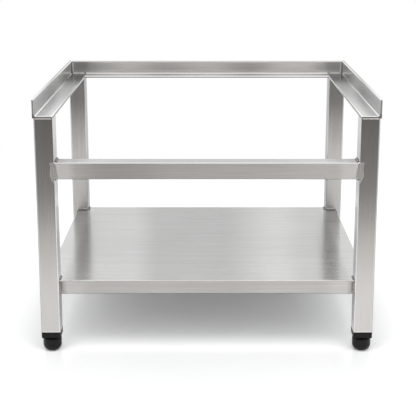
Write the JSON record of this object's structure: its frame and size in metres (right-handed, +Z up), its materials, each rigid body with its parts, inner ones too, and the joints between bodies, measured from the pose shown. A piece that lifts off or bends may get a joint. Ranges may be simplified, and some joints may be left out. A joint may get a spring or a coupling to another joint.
{
  "type": "kitchen equipment stand",
  "caption": "Open stainless stand that carries a counter-top kitchen appliance on angle rails, with upstands on three sides, a front rail, a folded undershelf and levelling feet.",
  "frame": {"origin": "on the floor under the middle of the stand, with the feet wound fully in", "axes": "+X to the right and +Y to the rear as seen from the open front, +Z up"},
  "size_m": [0.704, 0.604, 0.544],
  "materials": {
    "brushed_stainless": "satin brushed stainless steel",
    "weld_metal": "dressed weld beads in stainless steel",
    "black_plastic": "matt moulded black plastic",
    "plated_steel": "bright zinc-plated steel"
  },
  "bodies": {
    "frame": {"left_top_rail": "brushed_stainless", "right_top_rail": "brushed_stainless", "rear_top_rail": "brushed_stainless", "front_rail": "brushed_stainless", "shelf": "brushed_stainless", "shelf_stiffener": "brushed_stainless", "top_corner_welds": "weld_metal", "leg_top_welds": "weld_metal", "front_rail_welds": "weld_metal", "shelf_welds": "weld_metal", "front_left_leg": "brushed_stainless", "front_left_insert": "black_plastic", "front_left_nut": "plated_steel", "front_right_leg": "brushed_stainless", "front_right_insert": "black_plastic", "front_right_nut": "plated_steel", "rear_left_leg": "brushed_stainless", "rear_left_insert": "black_plastic", "rear_left_nut": "plated_steel", "rear_right_leg": "brushed_stainless", "rear_right_insert": "black_plastic", "rear_right_nut": "plated_steel"},
    "front_left_foot": {"front_left_foot": "black_plastic"},
    "front_left_spindle": {"front_left_spindle": "plated_steel"},
    "front_right_foot": {"front_right_foot": "black_plastic"},
    "front_right_spindle": {"front_right_spindle": "plated_steel"},
    "rear_left_foot": {"rear_left_foot": "black_plastic"},
    "rear_left_spindle": {"rear_left_spindle": "plated_steel"},
    "rear_right_foot": {"rear_right_foot": "black_plastic"},
    "rear_right_spindle": {"rear_right_spindle": "plated_steel"}
  },
  "joints": [
    {"name": "front_left_foot_lift", "type": "slide", "parent": "frame", "child": "front_left_foot", "axis": [0, 0, -1], "range_m": [0, 0.015]},
    {"name": "front_left_spindle_turn", "type": "hinge", "parent": "front_left_foot", "child": "front_left_spindle", "pos_m": [-0.33, -0.28, 0.0295], "axis": [0, 0, -1], "range_deg": [0, 3085.71]},
    {"name": "front_right_foot_lift", "type": "slide", "parent": "frame", "child": "front_right_foot", "axis": [0, 0, -1], "range_m": [0, 0.015]},
    {"name": "front_right_spindle_turn", "type": "hinge", "parent": "front_right_foot", "child": "front_right_spindle", "pos_m": [0.33, -0.28, 0.0295], "axis": [0, 0, -1], "range_deg": [0, 3085.71]},
    {"name": "rear_left_foot_lift", "type": "slide", "parent": "frame", "child": "rear_left_foot", "axis": [0, 0, -1], "range_m": [0, 0.015]},
    {"name": "rear_left_spindle_turn", "type": "hinge", "parent": "rear_left_foot", "child": "rear_left_spindle", "pos_m": [-0.33, 0.28, 0.0295], "axis": [0, 0, -1], "range_deg": [0, 3085.71]},
    {"name": "rear_right_foot_lift", "type": "slide", "parent": "frame", "child": "rear_right_foot", "axis": [0, 0, -1], "range_m": [0, 0.015]},
    {"name": "rear_right_spindle_turn", "type": "hinge", "parent": "rear_right_foot", "child": "rear_right_spindle", "pos_m": [0.33, 0.28, 0.0295], "axis": [0, 0, -1], "range_deg": [0, 3085.71]}
  ],
  "couplings": [
    {"joint": "front_left_spindle_turn", "follows": "front_left_foot_lift", "rad_per_m": 3590.4},
    {"joint": "front_right_spindle_turn", "follows": "front_right_foot_lift", "rad_per_m": 3590.4},
    {"joint": "rear_left_spindle_turn", "follows": "rear_left_foot_lift", "rad_per_m": 3590.4},
    {"joint": "rear_right_spindle_turn", "follows": "rear_right_foot_lift", "rad_per_m": 3590.4}
  ]
}
